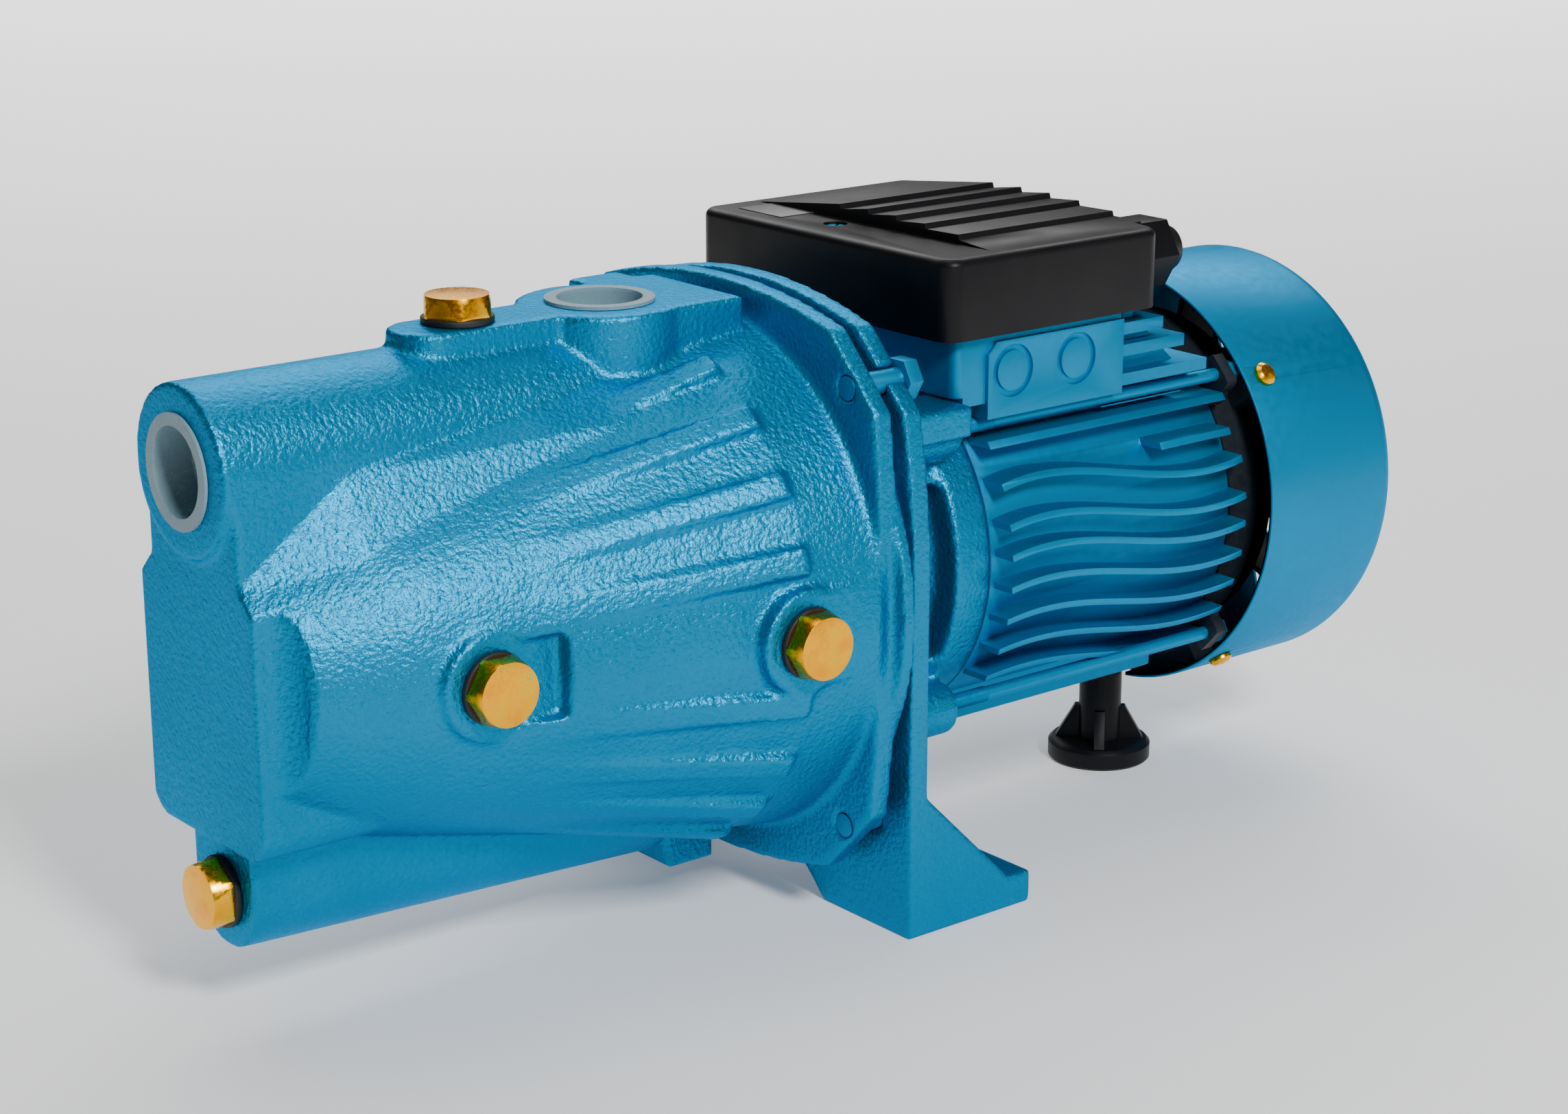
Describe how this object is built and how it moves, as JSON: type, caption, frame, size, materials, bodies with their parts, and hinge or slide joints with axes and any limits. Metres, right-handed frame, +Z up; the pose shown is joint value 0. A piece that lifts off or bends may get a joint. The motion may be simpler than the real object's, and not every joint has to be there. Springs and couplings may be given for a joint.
{
  "type": "self-priming jet centrifugal pump",
  "caption": "Close-coupled self-priming jet water pump: long cast casing with front suction and top discharge ports, finned motor, terminal box and fan cover on a footed bracket.",
  "frame": {"origin": "midway between the two foot bolt holes, on the face the feet stand on", "axes": "+X along the shaft from the suction end to the fan cover, +Z up"},
  "size_m": [0.4685, 0.1931, 0.2295],
  "materials": {
    "cast_iron_paint": "hammered enamel over cast iron",
    "motor_paint": "smooth satin enamel over die-cast aluminium",
    "cover_paint": "smooth satin enamel over pressed steel",
    "black_plastic": "satin moulded plastic",
    "cap_plastic": "translucent natural polythene",
    "yellow_zinc": "yellow passivated, machined",
    "black_rubber": "matt moulded rubber",
    "bolt_steel": "zinc-plated",
    "shaft_steel": "ground stainless steel",
    "lamination_steel": "stacked laminations",
    "copper_winding": "varnished copper",
    "pump_plastic": "glass-filled moulding",
    "brass": "turned",
    "ceramic": "lapped ceramic",
    "carbon": "lapped carbon and rubber",
    "bearing_steel": "ground",
    "capacitor_case": "drawn can",
    "terminal_plastic": "moulded",
    "end_shield_metal": "die-cast, unpainted"
  },
  "bodies": {
    "pump_body": {"pump_casing": "cast_iron_paint", "motor_bracket": "cast_iron_paint", "seal_plate": "cast_iron_paint", "motor_frame": "motor_paint", "rear_end_shield": "end_shield_metal", "fan_cover": "cover_paint", "side_plugs": "yellow_zinc", "fan_cover_screws": "yellow_zinc", "side_plug_gaskets": "black_rubber", "casing_o_ring": "black_rubber", "casing_bolts": "bolt_steel", "tie_rods": "bolt_steel", "ejector_nozzle": "pump_plastic", "venturi_tube": "pump_plastic", "diffuser": "pump_plastic", "stator_core": "lamination_steel", "stator_windings": "copper_winding", "seal_stationary_ring": "ceramic", "front_bearing_outer": "bearing_steel", "rear_bearing_outer": "bearing_steel", "wave_washer": "bearing_steel", "terminal_cover": "black_plastic", "terminal_cover_screw": "bolt_steel", "terminal_gasket": "black_rubber", "terminal_block": "terminal_plastic", "capacitor": "capacitor_case", "gland_body": "black_plastic", "gland_locknut": "black_plastic", "gland_nut": "black_plastic", "gland_seal": "black_rubber", "rear_support_foot": "black_plastic"},
    "rotating_assembly": {"shaft": "shaft_steel", "impeller": "brass", "impeller_nut": "bolt_steel", "seal_rotating_head": "carbon", "seal_spring": "shaft_steel", "water_slinger": "black_rubber", "rotor_core": "lamination_steel", "front_bearing_inner": "bearing_steel", "front_bearing_balls": "bearing_steel", "rear_bearing_inner": "bearing_steel", "rear_bearing_balls": "bearing_steel", "fan": "black_plastic", "fan_clip": "shaft_steel"},
    "priming_plug_body": {"priming_plug": "yellow_zinc", "priming_gasket": "black_rubber"},
    "drain_plug_body": {"drain_plug": "yellow_zinc", "drain_gasket": "black_rubber"},
    "suction_cap_body": {"suction_port_cap": "cap_plastic"},
    "discharge_cap_body": {"discharge_port_cap": "cap_plastic"}
  },
  "joints": [
    {"name": "shaft_spin", "type": "hinge", "parent": "pump_body", "child": "rotating_assembly", "pos_m": [0, 0, 0.114], "axis": [1, 0, 0], "continuous": true},
    {"name": "priming_plug_lift", "type": "slide", "parent": "pump_body", "child": "priming_plug_body", "axis": [0, 0, 1], "range_m": [0, 0.03]},
    {"name": "drain_plug_pull", "type": "slide", "parent": "pump_body", "child": "drain_plug_body", "axis": [-1, 0, 0], "range_m": [0, 0.03]},
    {"name": "suction_cap_pull", "type": "slide", "parent": "pump_body", "child": "suction_cap_body", "axis": [-1, 0, 0], "range_m": [0, 0.03]},
    {"name": "discharge_cap_lift", "type": "slide", "parent": "pump_body", "child": "discharge_cap_body", "axis": [0, 0, 1], "range_m": [0, 0.03]}
  ]
}
